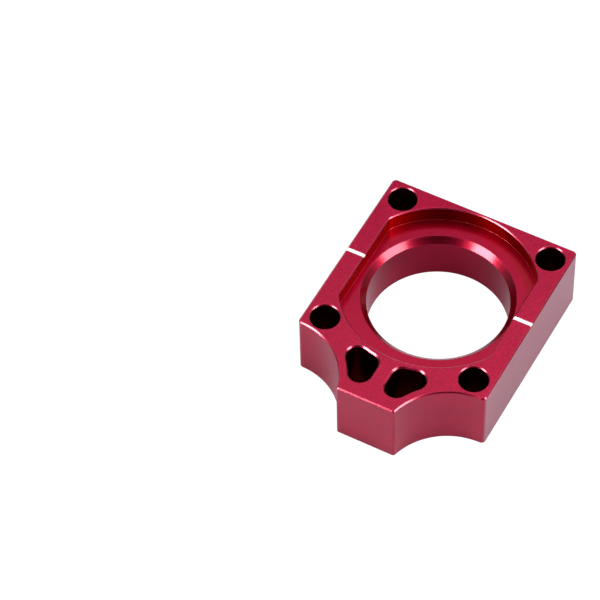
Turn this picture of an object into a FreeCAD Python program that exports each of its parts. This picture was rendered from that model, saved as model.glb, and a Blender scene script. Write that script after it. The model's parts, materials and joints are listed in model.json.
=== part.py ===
import FreeCAD, Part
import math
import os
import Sketcher

# Axle block of a motorcycle chain adjuster, milled from one piece of aluminium.
# Millimetres. X runs to the nose, Z up through the recessed face. The origin is on the
# axle bore axis, halfway through the thickness.

os.makedirs("parts", exist_ok=True)
doc = FreeCAD.newDocument("chain_adjuster")
sizes = doc.addObject("Spreadsheet::Sheet", "Sizes")

# body outline
sizes.set("A1", "block thickness along the axle")
sizes.set("B1", "13.0")
sizes.setAlias("B1", "thickness")
sizes.set("A2", "block width across the two side faces")
sizes.set("B2", "35.9")
sizes.setAlias("B2", "width")
sizes.set("A3", "lip between the recess and the back face")
sizes.set("B3", "0.7")
sizes.setAlias("B3", "back_lip")
sizes.set("A4", "bore axis to the nose face")
sizes.set("B4", "27.2")
sizes.setAlias("B4", "nose_reach")
sizes.set("A5", "width of the nose face before its corners are rounded")
sizes.set("B5", "11.05")
sizes.setAlias("B5", "nose_width")
sizes.set("A6", "radius of the two concave shoulders")
sizes.set("B6", "12.1")
sizes.setAlias("B6", "shoulder_r")
sizes.set("A7", "rounding of the four upright body corners")
sizes.set("B7", "0.8")
sizes.setAlias("B7", "corner_r")
sizes.set("A8", "rounding of the two upright nose corners")
sizes.set("B8", "0.5")
sizes.setAlias("B8", "nose_corner_r")
sizes.set("A9", "chamfer round the outline, both faces")
sizes.set("B9", "0.25")
sizes.setAlias("B9", "edge_break")

# axle bore
sizes.set("A10", "axle bore diameter")
sizes.set("B10", "25.0")
sizes.setAlias("B10", "bore_d")
sizes.set("A11", "lead-in chamfer at both bore ends")
sizes.set("B11", "1.05")
sizes.setAlias("B11", "bore_chamfer")

# recess for the axle head
sizes.set("A12", "diameter of the round ends of the recess")
sizes.set("B12", "34.4")
sizes.setAlias("B12", "recess_d")
sizes.set("A13", "width of the recess across its two flats")
sizes.set("B13", "28.8")
sizes.setAlias("B13", "recess_flats")
sizes.set("A14", "depth of the recess below the top face")
sizes.set("B14", "3.0")
sizes.setAlias("B14", "recess_depth")
sizes.set("A15", "chamfer round the recess rim")
sizes.set("B15", "0.2")
sizes.setAlias("B15", "recess_break")

# cutter that leaves its radius in the corners of the recess and the windows
sizes.set("A16", "cutter radius")
sizes.set("B16", "2.0")
sizes.setAlias("B16", "cutter_r")

# corner lightening holes, each as large as the walls round it allow
sizes.set("A17", "wall from a back hole to the side and back faces")
sizes.set("B17", "1.0")
sizes.setAlias("B17", "back_hole_wall")
sizes.set("A18", "wall from a back hole to the recess")
sizes.set("B18", "0.6")
sizes.setAlias("B18", "back_hole_recess_wall")
sizes.set("A19", "wall from a front hole to the side face")
sizes.set("B19", "1.15")
sizes.setAlias("B19", "front_hole_wall")
sizes.set("A20", "wall from a front hole to the recess and to the shoulder")
sizes.set("B20", "0.8")
sizes.setAlias("B20", "front_hole_inner_wall")
sizes.set("A21", "chamfer at both ends of the holes")
sizes.set("B21", "0.2")
sizes.setAlias("B21", "hole_break")

# nose windows
sizes.set("A22", "rib between the two windows")
sizes.set("B22", "2.9")
sizes.setAlias("B22", "web")
sizes.set("A23", "wall between a window and the recess")
sizes.set("B23", "1.1")
sizes.setAlias("B23", "window_recess_wall")
sizes.set("A24", "wall between a window and its shoulder")
sizes.set("B24", "1.7")
sizes.setAlias("B24", "window_wall")
sizes.set("A25", "chamfer at both ends of the windows")
sizes.set("B25", "0.3")
sizes.setAlias("B25", "window_break")

# index marks
sizes.set("A26", "width of an index mark, along X")
sizes.set("B26", "0.7")
sizes.setAlias("B26", "mark_width")
sizes.set("A27", "depth of an index mark below the top face")
sizes.set("B27", "0.2")
sizes.setAlias("B27", "mark_depth")
sizes.set("A28", "how far the mark cutter runs past both ends")
sizes.set("B28", "0.5")
sizes.setAlias("B28", "mark_overrun")
doc.recompute()

# places that several features share, worked out from the sizes
BACK = "(Sizes.recess_d / 2 + Sizes.back_lip)"
SHOULDER_X = "(" + BACK + " + Sizes.shoulder_r)"
SHOULDER_RUN = "(" + SHOULDER_X + " - Sizes.nose_reach)"
SHOULDER_Y = "(Sizes.nose_width / 2 + sqrt(Sizes.shoulder_r ^ 2 - " + SHOULDER_RUN + " ^ 2))"


def value(name):
    """Current number in the sheet, used to place geometry before it is bound."""
    return float(sizes.get(name))


def back_reach():
    return value("recess_d") / 2 + value("back_lip")


def shoulder_centre():
    """Centre of the shoulder arc on the +Y side."""
    x = back_reach() + value("shoulder_r")
    rise = math.sqrt(value("shoulder_r") ** 2 - (x - value("nose_reach")) ** 2)
    return x, value("nose_width") / 2 + rise


def point(x, y):
    return FreeCAD.Vector(x, y, 0)


def circle(x, y, radius):
    return Part.Circle(point(x, y), FreeCAD.Vector(0, 0, 1), radius)


def arc(x, y, radius, start, end):
    """Arc of a circle, counterclockwise between two angles in radians."""
    return Part.ArcOfCircle(circle(x, y, radius), start, end)


def line(x1, y1, x2, y2):
    return Part.LineSegment(point(x1, y1), point(x2, y2))


def origin_plane(body, role):
    for feature in body.Origin.OriginFeatures:
        if feature.Role == role:
            return feature
    raise RuntimeError("no origin plane " + role)


def sketch_on(body, name, role, height):
    """Sketch on an origin plane of the body, raised by an expression where one is given."""
    sketch = body.newObject("Sketcher::SketchObject", name)
    sketch.AttachmentSupport = [(origin_plane(body, role), "")]
    sketch.MapMode = "FlatFace"
    if height:
        sketch.setExpression(".AttachmentOffset.Base.z", height)
    doc.recompute()
    return sketch


def join(sketch, kind, *where):
    sketch.addConstraint(Sketcher.Constraint(kind, *where))


def bind(sketch, name, expression, kind, *where):
    """Add a dimension to a sketch and tie it to the sheet; its last argument is the number."""
    index = sketch.addConstraint(Sketcher.Constraint(kind, *where))
    sketch.renameConstraint(index, name)
    sketch.setExpression("Constraints." + name, expression)


def chain(sketch, pairs):
    """Close a loop by joining the ends named in each pair."""
    for first, first_end, second, second_end in pairs:
        join(sketch, "Coincident", first, first_end, second, second_end)


def dress(body, kind, name, wanted, expression):
    """Fillet or chamfer the edges whose shape and middle point pass a test."""
    before = body.Tip
    names = []
    for number, edge in enumerate(before.Shape.Edges, 1):
        middle = edge.valueAt((edge.FirstParameter + edge.LastParameter) / 2)
        if wanted(edge, middle):
            names.append("Edge" + str(number))
    if not names:
        raise RuntimeError(name + " found no edge")
    feature = body.newObject("PartDesign::" + kind, name)
    feature.Base = (before, names)
    if kind == "Fillet":
        feature.setExpression("Radius", expression)
    else:
        feature.setExpression("Size", expression)
    doc.recompute()


def check_cut(body, feature, before):
    """A cut that points away from the solid shows no error, so its volume is compared."""
    doc.recompute()
    if feature.Shape.isNull() or feature.Shape.Volume >= before:
        raise RuntimeError(feature.Name + " removed nothing")


def pocket(body, name, sketch, depth):
    """Cut downwards from a sketch on the top face; no depth means through all."""
    before = body.Tip.Shape.Volume
    feature = body.newObject("PartDesign::Pocket", name)
    feature.Profile = sketch
    if depth:
        feature.Type = "Length"
        feature.setExpression("Length", depth)
    else:
        feature.Type = "ThroughAll"
    check_cut(body, feature, before)
    return feature


def mirror(body, name, original):
    """Repeat a feature on the other side of the XZ plane."""
    feature = body.newObject("PartDesign::Mirrored", name)
    feature.Originals = [original]
    feature.MirrorPlane = (origin_plane(body, "XZ_Plane"), [""])
    body.Tip = feature
    doc.recompute()


def near(a, b):
    return abs(a - b) < 1e-4


def up_to(a, b):
    return a < b or near(a, b)


def outline(body):
    """Square body with two concave shoulders that run forward into the nose."""
    back = back_reach()
    half = value("width") / 2
    nose = value("nose_reach")
    nose_half = value("nose_width") / 2
    r = value("shoulder_r")
    cx, cy = shoulder_centre()
    side_x = cx - math.sqrt(r * r - (half - cy) ** 2)
    at_side = math.atan2(half - cy, side_x - cx) % (2 * math.pi)
    at_nose = math.atan2(nose_half - cy, nose - cx) % (2 * math.pi)

    sketch = sketch_on(body, "OutlineSketch", "XY_Plane", "-Sizes.thickness / 2")
    sketch.addGeometry(line(-back, half, -back, -half))
    sketch.addGeometry(line(-back, -half, side_x, -half))
    sketch.addGeometry(arc(cx, -cy, r, 2 * math.pi - at_nose, 2 * math.pi - at_side))
    sketch.addGeometry(line(nose, -nose_half, nose, nose_half))
    sketch.addGeometry(arc(cx, cy, r, at_side, at_nose))
    sketch.addGeometry(line(side_x, half, -back, half))
    chain(sketch, [(0, 2, 1, 1), (1, 2, 2, 2), (2, 1, 3, 1),
                   (3, 2, 4, 2), (4, 1, 5, 1), (5, 2, 0, 1)])
    join(sketch, "Horizontal", 1)
    join(sketch, "Horizontal", 5)
    join(sketch, "Vertical", 3)
    join(sketch, "Symmetric", 0, 1, 0, 2, -1)
    join(sketch, "Symmetric", 2, 3, 4, 3, -1)
    join(sketch, "Equal", 2, 4)
    bind(sketch, "width", "Sizes.width", "DistanceY", 0, 2, 0, 1, 2 * half)
    bind(sketch, "back", BACK, "DistanceX", 0, 1, -1, 1, back)
    bind(sketch, "nose", "Sizes.nose_reach", "DistanceX", -1, 1, 3, 1, nose)
    bind(sketch, "shoulder_r", "Sizes.shoulder_r", "Radius", 4, r)
    bind(sketch, "shoulder_x", SHOULDER_X, "DistanceX", -1, 1, 4, 3, cx)
    bind(sketch, "shoulder_y", SHOULDER_Y, "DistanceY", -1, 1, 4, 3, cy)

    pad = body.newObject("PartDesign::Pad", "Block")
    pad.Profile = sketch
    pad.setExpression("Length", "Sizes.thickness")
    doc.recompute()

    def upright(edge, middle):
        return near(edge.Length, value("thickness")) and near(middle.z, 0)

    dress(body, "Fillet", "BodyCorners",
          lambda e, p: upright(e, p) and near(abs(p.y), half), "Sizes.corner_r")
    dress(body, "Fillet", "NoseCorners",
          lambda e, p: upright(e, p) and near(p.x, nose), "Sizes.nose_corner_r")
    dress(body, "Chamfer", "OutlineBreaks",
          lambda e, p: near(abs(p.z), value("thickness") / 2), "Sizes.edge_break")


def head_recess(body):
    """Shallow pocket with round ends and two flats that keeps the axle head from turning."""
    r = value("recess_d") / 2
    flat = value("recess_flats") / 2
    end = math.sqrt(r * r - flat * flat)
    turn = math.atan2(flat, end)
    sketch = sketch_on(body, "RecessSketch", "XY_Plane", "Sizes.thickness / 2")
    sketch.addGeometry(line(end, flat, -end, flat))
    sketch.addGeometry(arc(0, 0, r, math.pi - turn, math.pi + turn))
    sketch.addGeometry(line(-end, -flat, end, -flat))
    sketch.addGeometry(arc(0, 0, r, -turn, turn))
    chain(sketch, [(0, 2, 1, 1), (1, 2, 2, 1), (2, 2, 3, 1), (3, 2, 0, 1)])
    join(sketch, "Coincident", 1, 3, -1, 1)
    join(sketch, "Coincident", 3, 3, -1, 1)
    join(sketch, "Horizontal", 0)
    join(sketch, "Horizontal", 2)
    bind(sketch, "ends", "Sizes.recess_d / 2", "Radius", 3, r)
    bind(sketch, "half_flats", "Sizes.recess_flats / 2", "DistanceY", -1, 1, 0, 1, flat)
    bind(sketch, "flats", "Sizes.recess_flats", "DistanceY", 2, 2, 0, 1, 2 * flat)
    pocket(body, "HeadRecess", sketch, "Sizes.recess_depth")

    def corner(edge, middle):
        return near(edge.Length, value("recess_depth")) and near(abs(middle.y), flat)

    dress(body, "Fillet", "RecessCorners", corner, "Sizes.cutter_r")


def axle_bore(body):
    """Turned cut with a lead-in cone at the plain face and one at the recess floor."""
    r = value("bore_d") / 2
    lead = value("bore_chamfer")
    low = -value("thickness") / 2
    floor = value("thickness") / 2 - value("recess_depth")
    corners = [(0, low), (r + lead, low), (r, low + lead),
               (r, floor - lead), (r + lead, floor), (0, floor)]
    sketch = sketch_on(body, "BoreSketch", "XZ_Plane", None)
    for start, end in zip(corners, corners[1:] + corners[:1]):
        sketch.addGeometry(line(*start, *end))
    chain(sketch, [(0, 2, 1, 1), (1, 2, 2, 1), (2, 2, 3, 1),
                   (3, 2, 4, 1), (4, 2, 5, 1), (5, 2, 0, 1)])
    join(sketch, "Horizontal", 0)
    join(sketch, "Vertical", 2)
    join(sketch, "Horizontal", 4)
    join(sketch, "PointOnObject", 0, 1, -2)
    join(sketch, "PointOnObject", 4, 2, -2)
    lead_in = "Sizes.bore_chamfer"
    bind(sketch, "bore", "Sizes.bore_d / 2", "DistanceX", -1, 1, 2, 1, r)
    bind(sketch, "low", "Sizes.thickness / 2", "DistanceY", 0, 1, -1, 1, -low)
    bind(sketch, "floor", "Sizes.thickness - Sizes.recess_depth",
         "DistanceY", 0, 1, 4, 2, floor - low)
    bind(sketch, "low_out", lead_in, "DistanceX", 2, 1, 0, 2, lead)
    bind(sketch, "low_up", lead_in, "DistanceY", 0, 2, 2, 1, lead)
    bind(sketch, "floor_out", lead_in, "DistanceX", 2, 2, 4, 1, lead)
    bind(sketch, "floor_down", lead_in, "DistanceY", 2, 2, 4, 1, lead)
    before = body.Tip.Shape.Volume
    groove = body.newObject("PartDesign::Groove", "AxleBore")
    groove.Profile = sketch
    groove.ReferenceAxis = (sketch, ["V_Axis"])
    groove.Angle = 360
    check_cut(body, groove, before)


def guide(sketch, geometry):
    """Add a construction line or circle and give its number."""
    return sketch.addGeometry(geometry, True)


def corner_holes(body):
    """A back and a front hole, each drawn to touch three guides a wall away from its
    neighbours, and their mirror images."""
    r = value("recess_d") / 2
    half = value("width") / 2
    back = back_reach()
    cx, cy = shoulder_centre()
    wall = value("back_hole_wall")
    recess_wall = value("back_hole_recess_wall")
    side_wall = value("front_hole_wall")
    inner_wall = value("front_hole_inner_wall")
    shoulder_r = value("shoulder_r") + inner_wall

    # radius that touches the back guide, the side guide and the recess guide
    far_x = back - wall
    far_y = half - wall
    reach = far_x + far_y + r + recess_wall
    spare = far_x ** 2 + far_y ** 2 - (r + recess_wall) ** 2
    hole_r = reach - math.sqrt(reach ** 2 - spare)

    sketch = sketch_on(body, "HoleSketch", "XY_Plane", "Sizes.thickness / 2")
    back_hole = sketch.addGeometry(circle(hole_r - far_x, far_y - hole_r, hole_r))
    front_hole = sketch.addGeometry(circle(far_x - hole_r, far_y - hole_r, hole_r))

    back_guide = guide(sketch, line(-far_x, 0, -far_x, far_y))
    side_guide = guide(sketch, line(-far_x, far_y, 0, far_y))
    recess_guide = guide(sketch, circle(0, 0, r + recess_wall))
    join(sketch, "Coincident", back_guide, 2, side_guide, 1)
    join(sketch, "Vertical", back_guide)
    join(sketch, "Horizontal", side_guide)
    join(sketch, "PointOnObject", back_guide, 1, -1)
    join(sketch, "PointOnObject", side_guide, 2, -2)
    join(sketch, "Coincident", recess_guide, 3, -1, 1)
    bind(sketch, "recess_wall", "Sizes.recess_d / 2 + Sizes.back_hole_recess_wall",
         "Radius", recess_guide, r + recess_wall)
    bind(sketch, "back_wall", BACK + " - Sizes.back_hole_wall",
         "DistanceX", back_guide, 1, -1, 1, far_x)
    bind(sketch, "side_wall", "Sizes.width / 2 - Sizes.back_hole_wall",
         "DistanceY", -1, 1, side_guide, 2, far_y)
    join(sketch, "Tangent", back_hole, back_guide)
    join(sketch, "Tangent", back_hole, side_guide)
    join(sketch, "Tangent", back_hole, recess_guide)

    front_side = guide(sketch, line(0, half - side_wall, far_x, half - side_wall))
    front_recess = guide(sketch, circle(0, 0, r + inner_wall))
    front_shoulder = guide(sketch, circle(cx, cy, shoulder_r))
    join(sketch, "Horizontal", front_side)
    join(sketch, "PointOnObject", front_side, 1, -2)
    join(sketch, "Coincident", front_recess, 3, -1, 1)
    bind(sketch, "front_run", BACK, "DistanceX", -1, 1, front_side, 2, back)
    bind(sketch, "front_side_wall", "Sizes.width / 2 - Sizes.front_hole_wall",
         "DistanceY", -1, 1, front_side, 1, half - side_wall)
    bind(sketch, "front_recess_wall", "Sizes.recess_d / 2 + Sizes.front_hole_inner_wall",
         "Radius", front_recess, r + inner_wall)
    bind(sketch, "shoulder_wall", "Sizes.shoulder_r + Sizes.front_hole_inner_wall",
         "Radius", front_shoulder, shoulder_r)
    bind(sketch, "shoulder_x", SHOULDER_X, "DistanceX", -1, 1, front_shoulder, 3, cx)
    bind(sketch, "shoulder_y", SHOULDER_Y, "DistanceY", -1, 1, front_shoulder, 3, cy)
    join(sketch, "Tangent", front_hole, front_side)
    join(sketch, "Tangent", front_hole, front_recess)
    join(sketch, "Tangent", front_hole, front_shoulder)
    doc.recompute()
    mirror(body, "CornerHoles", pocket(body, "SideHoles", sketch, None))


def touching(x1, y1, reach1, x2, y2, reach2):
    """Point at the two given reaches from two centres, on the side away from +Y."""
    span = math.hypot(x2 - x1, y2 - y1)
    along = (reach1 ** 2 - reach2 ** 2 + span ** 2) / (2 * span)
    across = math.sqrt(reach1 ** 2 - along ** 2)
    ux = (x2 - x1) / span
    uy = (y2 - y1) / span
    return x1 + along * ux + across * uy, y1 + along * uy - across * ux


def nose_windows(body):
    """Three-sided window whose sides follow the recess, the shoulder and the middle rib, with
    the cutter's radius in its corners, and its mirror image."""
    cx, cy = shoulder_centre()
    r = value("cutter_r")
    inner = value("web") / 2
    recess_side = value("recess_d") / 2 + value("window_recess_wall")
    shoulder_side = value("shoulder_r") + value("window_wall")

    # centres of the three corner arcs
    low_y = inner + r
    heel_x = math.sqrt((recess_side + r) ** 2 - low_y ** 2)
    tip_x = cx - math.sqrt((shoulder_side + r) ** 2 - (cy - low_y) ** 2)
    far_x, far_y = touching(0, 0, recess_side + r, cx, cy, shoulder_side + r)
    heel = math.atan2(low_y, heel_x)
    far_in = math.atan2(far_y, far_x)
    far_out = math.atan2(cy - far_y, cx - far_x)
    tip = math.atan2(cy - low_y, cx - tip_x)
    down = 3 * math.pi / 2

    sketch = sketch_on(body, "WindowSketch", "XY_Plane", "Sizes.thickness / 2")
    sketch.addGeometry(line(heel_x, inner, tip_x, inner))
    sketch.addGeometry(arc(tip_x, low_y, r, down, 2 * math.pi + tip))
    sketch.addGeometry(arc(cx, cy, shoulder_side, math.pi + far_out, math.pi + tip))
    sketch.addGeometry(arc(far_x, far_y, r, far_out, math.pi + far_in))
    sketch.addGeometry(arc(0, 0, recess_side, heel, far_in))
    sketch.addGeometry(arc(heel_x, low_y, r, math.pi + heel, down))
    join(sketch, "Tangent", 0, 2, 1, 1)
    join(sketch, "Tangent", 1, 2, 2, 2)
    join(sketch, "Tangent", 2, 1, 3, 1)
    join(sketch, "Tangent", 3, 2, 4, 2)
    join(sketch, "Tangent", 4, 1, 5, 1)
    join(sketch, "Tangent", 5, 2, 0, 1)
    join(sketch, "Horizontal", 0)
    join(sketch, "Equal", 1, 3)
    join(sketch, "Equal", 3, 5)
    join(sketch, "Coincident", 4, 3, -1, 1)
    bind(sketch, "corner", "Sizes.cutter_r", "Radius", 1, r)
    bind(sketch, "half_web", "Sizes.web / 2", "DistanceY", -1, 1, 0, 1, inner)
    bind(sketch, "recess_side", "Sizes.recess_d / 2 + Sizes.window_recess_wall",
         "Radius", 4, recess_side)
    bind(sketch, "shoulder_side", "Sizes.shoulder_r + Sizes.window_wall",
         "Radius", 2, shoulder_side)
    bind(sketch, "shoulder_x", SHOULDER_X, "DistanceX", -1, 1, 2, 3, cx)
    bind(sketch, "shoulder_y", SHOULDER_Y, "DistanceY", -1, 1, 2, 3, cy)
    mirror(body, "NoseWindows", pocket(body, "SideWindow", sketch, None))


def edge_breaks(body):
    """Chamfers round the windows and the holes on both faces, and round the recess rim."""
    top = value("thickness") / 2
    recess_r = value("recess_d") / 2
    flat = value("recess_flats") / 2
    clear = value("window_wall") / 2
    cx, cy = shoulder_centre()

    def on_face(p):
        return near(abs(p.z), top)

    def hole(e):
        centred = e.isClosed() and hasattr(e.Curve, "Center")
        return centred and math.hypot(e.Curve.Center.x, e.Curve.Center.y) > recess_r

    def window(e, p):
        off_shoulder = math.hypot(p.x - cx, abs(p.y) - cy) - value("shoulder_r") > clear
        off_nose = p.x < value("nose_reach") - clear
        return p.x > recess_r and off_shoulder and off_nose and not e.isClosed()

    def recess(p):
        return up_to(math.hypot(p.x, p.y), recess_r) and up_to(abs(p.y), flat)

    dress(body, "Chamfer", "WindowBreaks",
          lambda e, p: on_face(p) and window(e, p), "Sizes.window_break")
    dress(body, "Chamfer", "HoleBreaks",
          lambda e, p: on_face(p) and hole(e), "Sizes.hole_break")
    dress(body, "Chamfer", "RecessBreak",
          lambda e, p: near(p.z, top) and recess(p), "Sizes.recess_break")


def index_marks(body):
    """Shallow grooves in line with the axle, from the recess flats to the side faces."""
    half = value("mark_width") / 2
    start = value("recess_flats") / 2 - value("mark_overrun")
    end = value("width") / 2 + value("mark_overrun")
    sketch = sketch_on(body, "MarkSketch", "XY_Plane", "Sizes.thickness / 2")
    sketch.addGeometry(line(-half, start, half, start))
    sketch.addGeometry(line(half, start, half, end))
    sketch.addGeometry(line(half, end, -half, end))
    sketch.addGeometry(line(-half, end, -half, start))
    chain(sketch, [(0, 2, 1, 1), (1, 2, 2, 1), (2, 2, 3, 1), (3, 2, 0, 1)])
    join(sketch, "Horizontal", 2)
    join(sketch, "Vertical", 1)
    join(sketch, "Vertical", 3)
    join(sketch, "Symmetric", 0, 1, 0, 2, -2)
    bind(sketch, "across", "Sizes.mark_width", "DistanceX", 0, 1, 0, 2, 2 * half)
    bind(sketch, "start", "Sizes.recess_flats / 2 - Sizes.mark_overrun",
         "DistanceY", -1, 1, 0, 1, start)
    bind(sketch, "finish", "Sizes.width / 2 + Sizes.mark_overrun",
         "DistanceY", -1, 1, 2, 1, end)
    mirror(body, "IndexMarks", pocket(body, "SideMark", sketch, "Sizes.mark_depth"))


block = doc.addObject("PartDesign::Body", "axle_block")
block.Label = "axle_block"
block.Placement = FreeCAD.Placement(FreeCAD.Vector(0, 0, 0), FreeCAD.Rotation())
outline(block)
head_recess(block)
axle_bore(block)
corner_holes(block)
nose_windows(block)
edge_breaks(block)
index_marks(block)
doc.recompute()

for thing in doc.Objects:
    if "Invalid" in thing.State or "Error" in thing.State:
        raise RuntimeError(thing.Name + " did not build")
if block.Shape.isNull() or not block.Shape.isValid():
    raise RuntimeError(block.Label + " has no valid solid")
block.Shape.exportStep(os.path.join("parts", block.Label + ".step"))
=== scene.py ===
import json
import math

import bpy
from mathutils import Matrix, Vector

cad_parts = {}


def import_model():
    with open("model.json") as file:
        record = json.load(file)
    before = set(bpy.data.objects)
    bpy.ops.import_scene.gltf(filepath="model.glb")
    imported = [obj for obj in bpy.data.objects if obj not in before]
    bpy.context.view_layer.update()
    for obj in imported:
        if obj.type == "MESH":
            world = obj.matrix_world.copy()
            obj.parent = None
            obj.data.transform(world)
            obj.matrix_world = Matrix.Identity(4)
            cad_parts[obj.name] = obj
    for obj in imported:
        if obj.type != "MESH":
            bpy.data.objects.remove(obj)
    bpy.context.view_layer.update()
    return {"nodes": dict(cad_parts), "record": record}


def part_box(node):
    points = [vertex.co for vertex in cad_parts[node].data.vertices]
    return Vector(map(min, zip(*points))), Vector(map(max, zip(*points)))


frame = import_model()

# Looks of a red anodised chain adjuster axle block. Metres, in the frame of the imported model:
# +X to the nose, +Z up through the recessed face, origin on the bore axis at mid-thickness.

block = frame["nodes"]["axle_block"]

# Sizes that tell the block's surfaces apart: first those that the frame gives, then the rest.
lowest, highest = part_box("axle_block")
mounts = {mount["name"]: mount for mount in frame["record"]["mounts"]}
TOP = highest.z
BOTTOM = lowest.z
NOSE = highest.x
BACK = lowest.x
SIDE = highest.y
BORE_R = mounts["axle_bore"]["dims"]["r_mm"] / 1000
RECESS_FLOOR = mounts["axle_head_seat"]["pos_m"][2]
BORE_CHAMFER = 0.00105
RECESS_R = 0.0172
RECESS_FLAT = 0.0144
CORNER_R = 0.0008
NOSE_WIDTH = 0.01105
SHOULDER_R = 0.0121
SHOULDER_X = SHOULDER_R - BACK
SHOULDER_Y = NOSE_WIDTH / 2 + math.sqrt(SHOULDER_R ** 2 - (SHOULDER_X - NOSE) ** 2)
MARK_WIDTH = 0.0007
MARK_DEPTH = 0.0002

# How far the middle of a flat mesh face may lie from the surface that it belongs to.
CLOSE = 0.00001
NEAR = 0.0001

# Node trees

WHITE = (1.0, 1.0, 1.0)
BLACK = (0.0, 0.0, 0.0)


class Tree:
    """Short calls for building the node tree of one material or world."""

    def __init__(self, owner):
        owner.use_nodes = True
        self.tree = owner.node_tree
        self.tree.nodes.clear()

    def add(self, kind, inputs=None, **settings):
        """New node with its settings made and its inputs linked or filled in."""
        node = self.tree.nodes.new("ShaderNode" + kind)
        for name, setting in settings.items():
            setattr(node, name, setting)
        for name, given in (inputs or {}).items():
            socket = node.inputs[name]
            if isinstance(given, bpy.types.NodeSocket):
                self.tree.links.new(given, socket)
            else:
                socket.default_value = given
        return node

    def math(self, operation, *given):
        return self.add("Math", dict(enumerate(given)), operation=operation).outputs[0]

    def vector(self, operation, *given):
        """Vector arithmetic. A length, a distance or a dot product comes out as a number."""
        node = self.add("VectorMath", dict(enumerate(given)), operation=operation)
        is_number = operation in ("LENGTH", "DISTANCE", "DOT_PRODUCT")
        return node.outputs["Value" if is_number else "Vector"]

    def millimetres(self):
        """The object's own coordinates, in millimetres."""
        place = self.add("TexCoord").outputs["Object"]
        return self.add("VectorMath", {0: place, "Scale": 1000.0}, operation="SCALE").outputs[0]

    def fade(self, value, low, high, to_low=0.0, to_high=1.0):
        """Smooth change from one number to another while value goes from low to high."""
        node = self.add("MapRange", {"Value": value, "From Min": low, "From Max": high,
                                     "To Min": to_low, "To Max": to_high},
                        interpolation_type="SMOOTHSTEP")
        return node.outputs["Result"]

    def mix(self, factor, a, b):
        """Colour a turned into colour b by factor; sockets 6, 7 and 2 are the node's colours."""
        node = self.add("Mix", {"Factor": factor}, data_type="RGBA")
        for index, given in ((6, a), (7, b)):
            if isinstance(given, bpy.types.NodeSocket):
                self.tree.links.new(given, node.inputs[index])
            else:
                node.inputs[index].default_value = (*given, 1.0)
        return node.outputs[2]

    def darken(self, colour, pattern, spread, amount, tint):
        """Mixes a tint in where a pattern is low. The change reaches as far as spread from 0.5."""
        low = self.fade(pattern, 0.5 + spread, 0.5 - spread)
        return self.mix(self.math("MULTIPLY", low, amount), colour, tint)

    def noise(self, vector, scale, detail=2.0, rough=0.5):
        node = self.add("TexNoise", {"Vector": vector, "Scale": scale, "Detail": detail,
                                     "Roughness": rough})
        return node.outputs["Fac"]

    def finish(self, kind, shader):
        """Sends a shader to the output node of a material or world."""
        self.add("Output" + kind, {0: shader.outputs[0]})


# Surface patterns. Their coordinates are millimetres, so their scales are waves per millimetre,
# apart from the streaks' scale, which is waves per radian.
TONE_SCALE = 0.22
SPECK_SCALE = 2.8
FINE_SCALE = 11.0
RING_SCALE = 4.0
LEVEL_LINES = (1.2, 1.2, 6.0)
STREAK_SCALE = 50.0
STREAK_HEIGHT = 26.0
SPECK_SHADE = 0.62
LINE_SHADE = 0.5
MICRON = 0.000001

# Pale line along an edge, partly thinner colour and partly painted highlight: its width, its
# colour and how much of that shows, and the cosines between the rounded and the true normal at
# which the paling starts and is full.
EDGE_WIDTH = 0.0001
PALE_EDGE_COLOUR = (0.95, 0.42, 0.50)
PALE_EDGE_SHARE = 0.45
PALE_EDGE_STARTS = 0.995
PALE_EDGE_IS_FULL = 0.86
BEVEL_SAMPLES = 6

# Strip of the recess floor along the back wall where a darker, purer red is painted: a painted
# reflection and shade of that wall.
WALL_REFLECTION_INNER_R = 14.7
WALL_REFLECTION_OUTER_R = 15.6
WALL_REFLECTION_START_X = 1.0
WALL_REFLECTION_FULL_X = -10.0


def scaled(colour, factor):
    return tuple(part * factor for part in colour)


def from_bore(t, mm):
    """X and Z of a place, and its way and its distance from the bore axis."""
    x, y, z = t.add("SeparateXYZ", {0: mm}).outputs
    way = t.add("CombineXYZ", {0: x, 1: y}).outputs[0]
    return x, z, way, t.vector("LENGTH", way)


def tool_lines(t, mm, lines):
    """Noise drawn out along the cutter's path, which goes level or round the bore axis."""
    if lines == "level":
        return t.noise(t.vector("MULTIPLY", mm, LEVEL_LINES), 1.0)
    _, z, _, radius = from_bore(t, mm)
    return t.noise(t.add("CombineXYZ", {0: radius, 1: z}).outputs[0], RING_SCALE)


def radial_streaks(t, mm):
    """Noise that changes only with the direction from the bore axis."""
    way = from_bore(t, mm)[2]
    return t.noise(t.vector("NORMALIZE", way), STREAK_SCALE, 3.0)


def painted_wall_reflection_share(t, mm, strength):
    """How much of the painted reflection of the back wall there is: strength near the back of the
    recess floor, nothing away from it.
    """
    x, _, _, radius = from_bore(t, mm)
    in_wall_reflection = t.math("MULTIPLY", t.fade(radius, WALL_REFLECTION_INNER_R, WALL_REFLECTION_OUTER_R),
                     t.fade(x, WALL_REFLECTION_START_X, WALL_REFLECTION_FULL_X))
    return t.math("MULTIPLY", in_wall_reflection, strength)


def edge_wear_and_highlight(t, wear_and_highlight):
    """Nothing on a plain face, and up to wear_and_highlight within the pale line along an edge,
    which is partly thinner colour and partly painted highlight.
    """
    rounded = t.add("Bevel", {"Radius": EDGE_WIDTH}, samples=BEVEL_SAMPLES).outputs[0]
    true_normal = t.add("NewGeometry").outputs["True Normal"]
    agreement = t.vector("DOT_PRODUCT", rounded, true_normal)
    return t.math("MULTIPLY", t.fade(agreement, PALE_EDGE_STARTS, PALE_EDGE_IS_FULL), wear_and_highlight)


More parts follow.
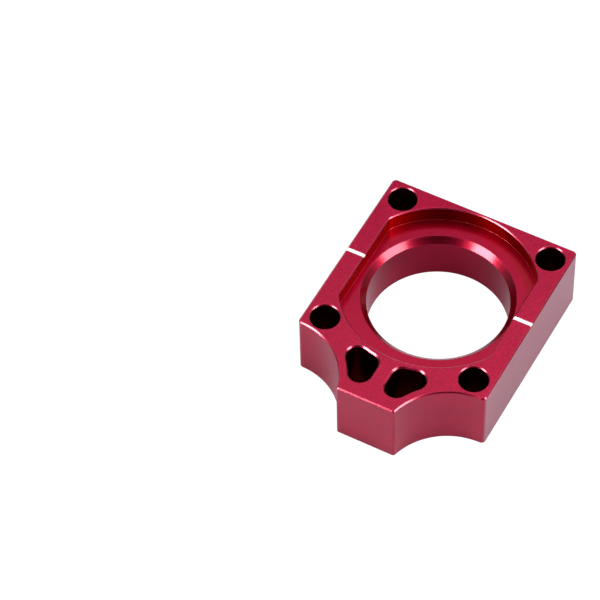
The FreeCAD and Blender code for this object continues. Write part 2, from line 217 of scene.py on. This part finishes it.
def anodised(name, dye_and_shade, rough, coat_rough, coat_ior, grain, speckle=0.12, lines=None,
             line_height=1.0, line_tone=0.1, streaks=0.0, glancing=WHITE, wear_and_highlight=0.3,
             soft=0.00003, painted_wall_reflection=0.0):
    """Dyed oxide over aluminium: tinted metal under a clear oxide skin.

    dye_and_shade is a deeper and a brighter tone, between which the colour slowly changes; on
    some surfaces it holds painted light and shade as well as the oxide's colour. grain is the
    height of the satin grain in microns, and speckle is how dark its specks are. lines, which
    are "level" or "turned" round the bore axis, have line_height in microns and are as dark as
    line_tone says. streaks is the strength of radial tool streaks, and painted_wall_reflection
    that of a painted reflection and shade of the back wall on the recess floor, a darker and
    purer red. glancing tints what the metal reflects at a low angle. wear_and_highlight is how
    pale the edges are, partly thinner colour and partly painted highlight, and soft the radius
    that their shading has.
    """
    deep, bright = dye_and_shade
    material = bpy.data.materials.new(name)
    t = Tree(material)
    mm = t.millimetres()

    tone = t.noise(mm, TONE_SCALE, 3.0)
    speck = t.noise(mm, SPECK_SCALE, 3.0, 0.65)
    fine = t.noise(mm, FINE_SCALE)
    height = t.math("ADD", t.math("MULTIPLY", speck, grain), t.math("MULTIPLY", fine, grain * 0.4))
    colour = t.mix(t.fade(tone, 0.3, 0.7), deep, bright)
    colour = t.darken(colour, speck, 0.12, speckle, scaled(deep, SPECK_SHADE))
    roughness = t.math("ADD", t.fade(tone, 0.25, 0.75, rough - 0.02, rough + 0.02),
                       t.fade(speck, 0.3, 0.7, -0.08 * speckle, 0.08 * speckle))

    if lines:
        line = tool_lines(t, mm, lines)
        height = t.math("ADD", height, t.math("MULTIPLY", line, line_height))
        colour = t.darken(colour, line, 0.08, line_tone, scaled(deep, LINE_SHADE))
        roughness = t.math("ADD", roughness, t.fade(line, 0.3, 0.7, -0.03, 0.03))
    if streaks:
        streak = radial_streaks(t, mm)
        height = t.math("ADD", height, t.math("MULTIPLY", streak, streaks * STREAK_HEIGHT))
        colour = t.darken(colour, streak, 0.1, streaks, scaled(deep, LINE_SHADE))
    # Painted reflection and shade of the back wall on the recess floor: a darker, purer red.
    if painted_wall_reflection:
        mirrored_wall_red = (deep[0] * 0.85, 0.0, deep[2] * 0.1)
        colour = t.mix(painted_wall_reflection_share(t, mm, painted_wall_reflection), colour, mirrored_wall_red)

    # Paler colour along the edges: partly thinner colour, partly painted highlight.
    pale_edge_colour = tuple((1 - PALE_EDGE_SHARE) * a + PALE_EDGE_SHARE * b for a, b in zip(bright, PALE_EDGE_COLOUR))
    colour = t.mix(edge_wear_and_highlight(t, wear_and_highlight), colour, pale_edge_colour)
    bump = t.add("Bump", {"Height": height, "Distance": MICRON, "Strength": 1.0}).outputs[0]
    normal = t.add("Bevel", {"Radius": soft, "Normal": bump}, samples=BEVEL_SAMPLES).outputs[0]
    t.finish("Material", t.add("BsdfPrincipled", {
        "Base Color": colour, "Metallic": 1.0, "Roughness": roughness, "Normal": normal,
        "Coat Weight": 1.0, "Coat Roughness": coat_rough, "Coat IOR": coat_ior,
        "Coat Normal": normal, "Specular Tint": (*glancing, 1.0)}))
    return material


def mark_paint():
    """White filling of the index marks, slightly uneven in colour, gloss and height."""
    material = bpy.data.materials.new("mark_white")
    t = Tree(material)
    lumps = t.noise(t.millimetres(), 3.0, 3.0)
    colour = t.mix(t.fade(lumps, 0.35, 0.65), (0.86, 0.85, 0.85), (0.93, 0.93, 0.93))
    normal = t.add("Bump", {"Height": lumps, "Distance": 15 * MICRON, "Strength": 0.6}).outputs[0]
    t.finish("Material", t.add("BsdfPrincipled", {
        "Base Color": colour, "Roughness": t.fade(lumps, 0.3, 0.7, 0.45, 0.6),
        "Normal": normal}))
    return material


# Deeper and brighter tone of each kind of surface, partly the oxide's own colour and partly
# painted light and shade:
# the sides, the recess floor and the bore are set darker than the top as painted shade, and the
# near-black of the holes is painted shade.
TOP_DYE = ((0.435, 0.0008, 0.041), (0.50, 0.0014, 0.048))
SIDE_DYE_AND_SHADE = ((0.36, 0.0008, 0.042), (0.42, 0.0014, 0.049))
NOSE_DYE = ((0.455, 0.0008, 0.043), (0.525, 0.0014, 0.050))
CHAMFER_DYE = ((0.43, 0.0004, 0.029), (0.49, 0.0008, 0.035))
FLOOR_DYE_AND_SHADE = ((0.35, 0.0004, 0.028), (0.395, 0.0008, 0.033))
WALL_DYE = ((0.43, 0.0003, 0.008), (0.47, 0.0005, 0.010))
BORE_DYE_AND_SHADE = ((0.35, 0.0004, 0.030), (0.41, 0.0008, 0.036))
# Painted shade: the near-black tone of the hole walls.
HOLE_DYE_AND_SHADE = ((0.06, 0.0001, 0.0006), (0.11, 0.0001, 0.0012))

FINISHES = {
    "satin": anodised("anodised_satin", TOP_DYE, rough=0.52, coat_rough=0.21, coat_ior=1.22,
                      grain=6.0, speckle=0.75),
    "side": anodised("anodised_side", SIDE_DYE_AND_SHADE, rough=0.54, coat_rough=0.30, coat_ior=1.78,
                     grain=6.0, speckle=0.5, lines="level", soft=0.0001),
    "nose": anodised("anodised_nose", NOSE_DYE, rough=0.54, coat_rough=0.30, coat_ior=1.30,
                     grain=4.0, speckle=0.4, lines="level", soft=0.0004),
    "turned": anodised("anodised_turned", CHAMFER_DYE, rough=0.335, coat_rough=0.17,
                       coat_ior=1.54, grain=0.1, speckle=0.05, lines="turned", line_tone=0.2,
                       streaks=0.3, glancing=(1.0, 0.3, 0.4)),
    "milled": anodised("anodised_milled", FLOOR_DYE_AND_SHADE, rough=0.40, coat_rough=0.20, coat_ior=1.19,
                       grain=0.4, lines="turned", line_height=0.6, line_tone=0.12, streaks=0.12,
                       glancing=(1.0, 0.3, 0.4), soft=0.00013, painted_wall_reflection=0.6),
    "wall": anodised("anodised_wall", WALL_DYE, rough=0.26, coat_rough=0.20, coat_ior=1.08,
                     grain=0.1, speckle=0.05, lines="turned", line_tone=0.55,
                     glancing=(1.0, 0.05, 0.05), soft=0.00013),
    "bored": anodised("anodised_bored", BORE_DYE_AND_SHADE, rough=0.36, coat_rough=0.24, coat_ior=1.13,
                      grain=1.0, lines="turned", line_height=1.2, glancing=(1.0, 0.82, 0.87)),
    "drilled": anodised("anodised_drilled", HOLE_DYE_AND_SHADE, rough=0.34, coat_rough=0.30, coat_ior=1.04,
                        grain=0.3, lines="turned", line_height=0.8, glancing=(0.3, 0.01, 0.03)),
    "broken": anodised("anodised_edge", TOP_DYE, rough=0.37, coat_rough=0.20, coat_ior=1.80,
                       grain=0.2, wear_and_highlight=0.25, soft=0.00014),
    "paint": mark_paint(),
}


# The shading stays smooth over turns in the surface up to this many degrees.
SMOOTH_UP_TO = 20


def in_mark(x, y, z):
    """Whether a place is on the bottom or a wall of an index mark."""
    return (abs(x) < MARK_WIDTH / 2 + CLOSE and abs(y) > RECESS_FLAT - NEAR
            and TOP - MARK_DEPTH - 2 * CLOSE < z < TOP - CLOSE)


def on_nose(x, y):
    """Whether a place on an upright face is on the nose, a shoulder or a front body corner."""
    from_shoulder = math.hypot(x - SHOULDER_X, abs(y) - SHOULDER_Y) - SHOULDER_R
    corner = SIDE - CORNER_R - 3 * NEAR
    return (x > NOSE - CORNER_R or abs(from_shoulder) < 3 * NEAR
            or (x > corner and abs(y) > corner))


def finish_of(centre, normal):
    """Which finish one face of the block has, from where it is and which way it looks."""
    x, y, z = centre
    radius = math.hypot(x, y)
    upright = abs(normal.z) < 0.3
    level = abs(normal.z) > 0.95
    if in_mark(x, y, z) and (level or upright):
        return "paint"
    if radius < BORE_R + BORE_CHAMFER + 2 * NEAR and not level:
        return "bored" if upright else "turned"
    if level:
        return "milled" if abs(z - RECESS_FLOOR) < NEAR else "satin"
    if not upright:
        return "broken"
    if abs(y) > SIDE - 1.5 * NEAR or x < BACK + CORNER_R - NEAR:
        return "side"
    if on_nose(x, y):
        return "nose"
    in_recess = z > RECESS_FLOOR and radius < RECESS_R + NEAR and abs(y) < RECESS_FLAT + NEAR
    return "wall" if in_recess else "drilled"


def dress(mesh):
    """Gives each face its finish, and smooth shading that stops at the real edges."""
    mesh.materials.clear()
    for material in FINISHES.values():
        mesh.materials.append(material)
    slots = list(FINISHES)
    for face in mesh.polygons:
        face.material_index = slots.index(finish_of(face.center, face.normal))
        face.use_smooth = True
    mesh.set_sharp_from_angle(angle=math.radians(SMOOTH_UP_TO))


# Floor, light and camera

FLOOR_SIZE = 6.0
FLOOR_GAP = 0.00002
FLOOR_GREY = (0.62, 0.64, 0.72)
FLOOR_PALE = (0.9, 0.9, 0.9)
FLOOR_TONE_SCALE = 40.0

# White that the floor shows, and how much of it camera rays and glossy rays see.
FLOOR_WHITE = 1.12
CAMERA_SHARE = 0.9
GLOSSY_SHARE = 0.12

# Painted shadows on the floor, which the bore and the shoulders mirror: X and Y of the
# middle, how far from it the dark starts to fade and how far it reaches, and how dark it is.
PAINTED_FLOOR_SHADOWS = (
    (-0.010, -0.001, 0.003, 0.011, 0.34),
    (0.021, -0.018, 0.003, 0.012, 0.14),
    (0.0235, 0.0125, 0.003, 0.012, 0.09),
)

# The low light behind the block, as the photo's camera sees it, and the two faint glows: the
# direction and the strength of each. Both fade with the cosine of the angle from that direction.
BEHIND = (-0.867, -0.498, 0.0)
BEHIND_STRENGTH = 0.48
GLOWS = (
    ((0.393, -0.882, 0.259), 0.18),
    ((-0.505, 0.816, 0.28), 0.17),
)
WORLD_DARK = (0.02, 0.02, 0.02)


def floor():
    """White floor for the camera, dimmer in reflections, with a matt part that takes shadow and
    carries painted shadows near the block.
    """
    bpy.ops.mesh.primitive_plane_add(size=FLOOR_SIZE, location=(0, 0, BOTTOM - FLOOR_GAP))
    plane = bpy.context.object
    plane.name = "floor"
    material = bpy.data.materials.new("floor_white")
    t = Tree(material)
    place = t.add("TexCoord").outputs["Object"]
    shade = FLOOR_GREY
    # Painted shadows: darker patches of the floor's matt colour near the block.
    for x, y, near, far, amount in PAINTED_FLOOR_SHADOWS:
        away = t.vector("DISTANCE", place, (x, y, 0.0))
        shade = t.mix(t.fade(away, near, far, amount, 0.0), shade, BLACK)
    tone = t.noise(place, FLOOR_TONE_SCALE)
    shade = t.mix(t.fade(tone, 0.3, 0.7, 0.0, 0.04), shade, FLOOR_PALE)
    matt = t.add("BsdfDiffuse", {"Color": shade}).outputs[0]
    bright = t.add("Emission", {"Color": (*WHITE, 1.0), "Strength": FLOOR_WHITE}).outputs[0]
    rays = t.add("LightPath").outputs
    seen = t.math("ADD", t.math("MULTIPLY", rays["Is Camera Ray"], CAMERA_SHARE),
                  t.math("MULTIPLY", rays["Is Glossy Ray"], GLOSSY_SHARE))
    t.finish("Material", t.add("MixShader", {0: seen, 1: matt, 2: bright}))
    plane.data.materials.append(material)


def world():
    """Dark room with a low light behind the block and a faint glow at either side."""
    studio = bpy.data.worlds.new("studio")
    bpy.context.scene.world = studio
    t = Tree(studio)
    way = t.add("TexCoord").outputs["Generated"]
    behind = t.vector("DOT_PRODUCT", way, BEHIND)
    up = t.add("SeparateXYZ", {0: way}).outputs[2]
    low_light = t.fade(up, 0.75, 0.35, 0.0, BEHIND_STRENGTH)
    light = t.math("MULTIPLY", t.fade(behind, 0.5, 0.8), low_light)
    for toward, strength in GLOWS:
        glow = t.fade(t.vector("DOT_PRODUCT", way, toward), 0.87, 0.99, 0.0, strength)
        light = t.math("ADD", light, glow)
    shade = t.mix(light, WORLD_DARK, WHITE)
    t.finish("World", t.add("Background", {"Color": shade, "Strength": 1.0}))


# Watts that a square metre of a lamp gives at brightness 1.
LAMP_WATTS = 4.0


def softbox(name, toward, distance, width, height, brightness, aside=0.0):
    """Rectangular lamp that faces the block from a direction, moved aside in its own plane."""
    light = bpy.data.lights.new(name, "AREA")
    light.shape = "RECTANGLE"
    light.size = width
    light.size_y = height
    light.energy = brightness * width * height * LAMP_WATTS
    lamp = bpy.data.objects.new(name, light)
    way = Vector(toward).normalized()
    turn = way.to_track_quat("Z", "Y").to_matrix().to_4x4()
    shift = Matrix.Translation((aside, 0, 0))
    lamp.matrix_world = Matrix.Translation(way * distance) @ turn @ shift
    bpy.context.scene.collection.objects.link(lamp)


def lamps():
    softbox("lamp_left", (0.712, -0.517, 0.476), distance=0.45, width=0.20, height=0.19,
            brightness=10.3)
    softbox("lamp_right", (-0.03, 0.883, 0.469), distance=0.45, width=0.22, height=0.19,
            brightness=5.9, aside=-0.015)
    softbox("lamp_above", (-0.233, -0.113, 0.966), distance=0.36, width=0.46, height=0.34,
            brightness=1.5, aside=-0.06)
    softbox("lamp_side", (-0.1, 0.58, 0.81), distance=0.4, width=0.2, height=0.2,
            brightness=3.7)


# The photo's camera, from a fit to the outline, the recess and the bore.
EYE = Vector((0.319655, 0.156216, 0.468273))
EYE_RIGHT = Vector((-0.47674, 0.87884, -0.01876))
EYE_DOWN = Vector((0.70400, 0.36894, -0.60687))
EYE_AHEAD = Vector((-0.52642, -0.30253, -0.79459))
LENS = 202.94
SENSOR = 36.0
PHOTO_PIXELS = 600


def camera():
    """Camera at the photo's viewing angle. The fit numbered pixels by their middles, and so the
    middle of Blender's picture lies half a pixel up and to the left of the fit's axis."""
    data = bpy.data.cameras.new("camera")
    data.sensor_width = SENSOR
    data.lens = LENS
    data.clip_start = 0.01
    data.clip_end = 20.0
    half_pixel = 0.5 * SENSOR / (LENS * PHOTO_PIXELS)
    ahead = (EYE_AHEAD - half_pixel * EYE_RIGHT - half_pixel * EYE_DOWN).normalized()
    right = (EYE_RIGHT - EYE_RIGHT.dot(ahead) * ahead).normalized()
    down = ahead.cross(right)
    turn = Matrix((right, -down, -ahead)).transposed().to_4x4()
    eye = bpy.data.objects.new("camera", data)
    eye.matrix_world = Matrix.Translation(EYE) @ turn
    bpy.context.scene.collection.objects.link(eye)
    bpy.context.scene.camera = eye


dress(block.data)
floor()
world()
lamps()
camera()
bpy.context.scene.view_settings.view_transform = "Standard"
